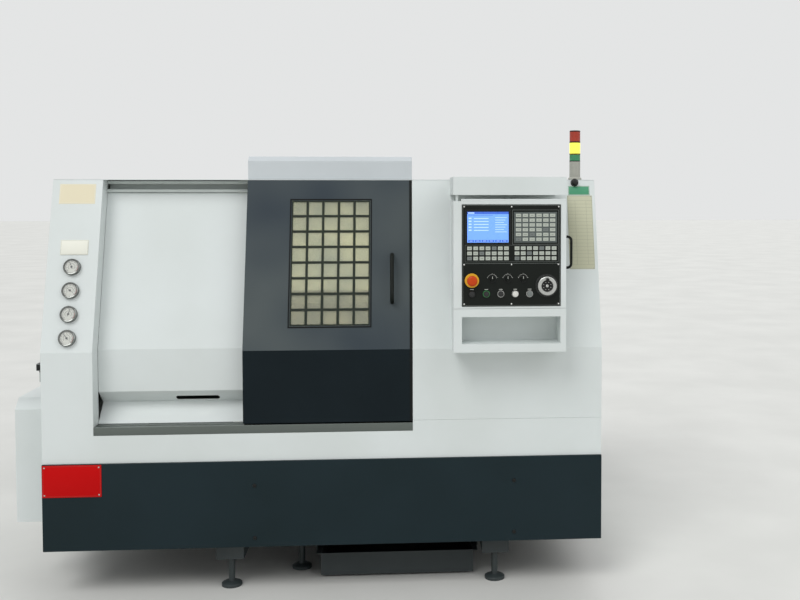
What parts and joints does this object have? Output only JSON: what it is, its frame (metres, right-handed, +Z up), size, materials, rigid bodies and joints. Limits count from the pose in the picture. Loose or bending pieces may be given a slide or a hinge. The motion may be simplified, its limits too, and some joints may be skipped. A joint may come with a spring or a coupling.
{
  "type": "cnc turning lathe",
  "caption": "Slant-bed turning lathe in a leaning sheet-metal enclosure, with a sliding front door, a swinging control box, chuck, tool turret and tailstock.",
  "frame": {"origin": "the middle of the bounding box at floor level, under the levelling feet", "axes": "+X to the right along the front, +Y into the depth away from the operator, +Z up"},
  "size_m": [2.576, 1.7734, 2.024],
  "materials": {
    "white_paint": "semi-gloss powder coat",
    "dark_paint": "satin powder coat",
    "door_paint": "satin powder coat",
    "track_steel": "rolled",
    "casting": "painted casting",
    "motor_casting": "painted",
    "plate_grey": "painted sheet",
    "ground_steel": "ground",
    "black_plastic": "fine grain",
    "window_glass": "clear laminated",
    "screen_face": "lit display",
    "key_pad": "membrane",
    "knob_metal": "turned",
    "estop_red": "moulded",
    "tower_grey": "moulded",
    "lens_green": "tinted lens",
    "lens_yellow": "tinted lens",
    "lens_red": "tinted lens",
    "gauge_case": "polished rim",
    "belt_rubber": "ribbed"
  },
  "bodies": {
    "frame": {"machine_base": "casting", "front_skirt": "dark_paint", "front_panel_left": "white_paint", "front_panel_right": "white_paint", "fixed_guard": "white_paint", "lower_track": "track_steel", "upper_track": "track_steel", "left_side_panel": "white_paint", "right_side_panel": "white_paint", "rear_panel": "white_paint", "electrical_cabinet": "plate_grey", "roof_panel": "white_paint", "roof_hood": "white_paint", "motor_cover": "white_paint", "gauge_1": "gauge_case", "gauge_2": "gauge_case", "gauge_3": "gauge_case", "gauge_4": "gauge_case", "control_housing": "white_paint", "tower_base": "tower_grey", "tower_lens_green": "lens_green", "tower_lens_yellow": "lens_yellow", "tower_lens_red": "lens_red", "chamber_liner": "white_paint", "headstock": "casting", "spindle_motor": "motor_casting", "drive_belt": "belt_rubber"},
    "door": {"door_panel": "door_paint", "door_window": "window_glass", "window_grille": "door_paint", "door_handle": "black_plastic"},
    "access_door": {"left_access_door": "white_paint"},
    "cabinet_door": {"cabinet_door": "white_paint"},
    "control_box": {"swing_box": "white_paint", "control_face": "black_plastic", "screen": "screen_face", "keypad": "key_pad", "panel_handle": "black_plastic"},
    "estop": {"estop_button": "estop_red"},
    "handwheel": {"handwheel": "knob_metal"},
    "coolant_tank": {"coolant_tank": "plate_grey"},
    "spindle": {"spindle": "ground_steel", "chuck_body": "ground_steel"},
    "motor_pulley": {"motor_pulley": "ground_steel"},
    "saddle": {"saddle": "casting"},
    "cross_slide": {"cross_slide": "white_paint"},
    "turret": {"turret_disc": "ground_steel"},
    "tailstock": {"tailstock": "casting"},
    "quill": {"tailstock_quill": "ground_steel"},
    "selector_1": {"selector_1": "black_plastic"},
    "jaw_1": {"jaw_1": "ground_steel"},
    "selector_2": {"selector_2": "black_plastic"},
    "jaw_2": {"jaw_2": "ground_steel"},
    "selector_3": {"selector_3": "black_plastic"},
    "jaw_3": {"jaw_3": "ground_steel"},
    "push_button_1": {"push_button_1": "knob_metal"},
    "push_button_2": {"push_button_2": "knob_metal"},
    "push_button_3": {"push_button_3": "knob_metal"},
    "push_button_4": {"push_button_4": "knob_metal"},
    "push_button_5": {"push_button_5": "knob_metal"}
  },
  "joints": [
    {"name": "door_slide", "type": "slide", "parent": "frame", "child": "door", "axis": [-1, 0, 0], "range_m": [0, 0.6]},
    {"name": "access_door_hinge", "type": "hinge", "parent": "frame", "child": "access_door", "pos_m": [-1.1268, -0.38765, 0.86], "axis": [0, 0, 1], "range_deg": [0, 100]},
    {"name": "cabinet_door_hinge", "type": "hinge", "parent": "frame", "child": "cabinet_door", "pos_m": [-0.135, 0.88015, 0.65], "axis": [0, 0, 1], "range_deg": [0, 110]},
    {"name": "control_box_swing", "type": "hinge", "parent": "frame", "child": "control_box", "pos_m": [0.643, -0.82265, 1.2487], "axis": [0, 0, -1], "range_deg": [0, 90]},
    {"name": "estop_press", "type": "slide", "parent": "control_box", "child": "estop", "axis": [0, 1, 0], "range_m": [0, 0.004], "stiffness_N_per_m": 1500},
    {"name": "handwheel_turn", "type": "hinge", "parent": "control_box", "child": "handwheel", "pos_m": [1.023, -0.84065, 1.345], "axis": [0, -1, 0], "continuous": true},
    {"name": "coolant_tank_slide", "type": "slide", "parent": "frame", "child": "coolant_tank", "axis": [0, -1, 0], "range_m": [0, 0.5]},
    {"name": "spindle_turn", "type": "hinge", "parent": "frame", "child": "spindle", "pos_m": [-0.32, -0.19965, 1.05], "axis": [1, 0, 0], "continuous": true},
    {"name": "motor_pulley_turn", "type": "hinge", "parent": "frame", "child": "motor_pulley", "pos_m": [-1.067, -0.39965, 0.55], "axis": [1, 0, 0], "continuous": true},
    {"name": "saddle_slide", "type": "slide", "parent": "frame", "child": "saddle", "axis": [-1, 0, 0], "range_m": [0, 0.45]},
    {"name": "cross_slide_feed", "type": "slide", "parent": "saddle", "child": "cross_slide", "axis": [0, -0.7071, -0.7071], "range_m": [0, 0.16]},
    {"name": "turret_index", "type": "hinge", "parent": "cross_slide", "child": "turret", "pos_m": [0.33, 0.05491, 1.30456], "axis": [1, 0, 0], "continuous": true},
    {"name": "tailstock_slide", "type": "slide", "parent": "frame", "child": "tailstock", "axis": [-1, 0, 0], "range_m": [0, 0.3]},
    {"name": "quill_slide", "type": "slide", "parent": "tailstock", "child": "quill", "axis": [-1, 0, 0], "range_m": [0, 0.08]},
    {"name": "selector_1_turn", "type": "hinge", "parent": "control_box", "child": "selector_1", "pos_m": [0.791, -0.84065, 1.375], "axis": [0, -1, 0], "range_deg": [-45, 45]},
    {"name": "selector_2_turn", "type": "hinge", "parent": "control_box", "child": "selector_2", "pos_m": [0.8565, -0.84065, 1.375], "axis": [0, -1, 0], "range_deg": [-45, 45]},
    {"name": "selector_3_turn", "type": "hinge", "parent": "control_box", "child": "selector_3", "pos_m": [0.922, -0.84065, 1.375], "axis": [0, -1, 0], "range_deg": [-45, 45]},
    {"name": "push_button_1_press", "type": "slide", "parent": "control_box", "child": "push_button_1", "axis": [0, 1, 0], "range_m": [0, 0.003], "stiffness_N_per_m": 600},
    {"name": "push_button_2_press", "type": "slide", "parent": "control_box", "child": "push_button_2", "axis": [0, 1, 0], "range_m": [0, 0.003], "stiffness_N_per_m": 600},
    {"name": "push_button_3_press", "type": "slide", "parent": "control_box", "child": "push_button_3", "axis": [0, 1, 0], "range_m": [0, 0.003], "stiffness_N_per_m": 600},
    {"name": "push_button_4_press", "type": "slide", "parent": "control_box", "child": "push_button_4", "axis": [0, 1, 0], "range_m": [0, 0.003], "stiffness_N_per_m": 600},
    {"name": "push_button_5_press", "type": "slide", "parent": "control_box", "child": "push_button_5", "axis": [0, 1, 0], "range_m": [0, 0.003], "stiffness_N_per_m": 600},
    {"name": "jaw_1_slide", "type": "slide", "parent": "spindle", "child": "jaw_1", "axis": [0, 0, 1], "range_m": [0, 0.008]},
    {"name": "jaw_2_slide", "type": "slide", "parent": "spindle", "child": "jaw_2", "axis": [0, -0.866, -0.5], "range_m": [0, 0.008]},
    {"name": "jaw_3_slide", "type": "slide", "parent": "spindle", "child": "jaw_3", "axis": [0, 0.866, -0.5], "range_m": [0, 0.008]}
  ],
  "couplings": [
    {"joint": "motor_pulley_turn", "follows": "spindle_turn", "ratio": 1.5},
    {"joint": "jaw_2_slide", "follows": "jaw_1_slide", "ratio": 1},
    {"joint": "jaw_3_slide", "follows": "jaw_1_slide", "ratio": 1}
  ]
}
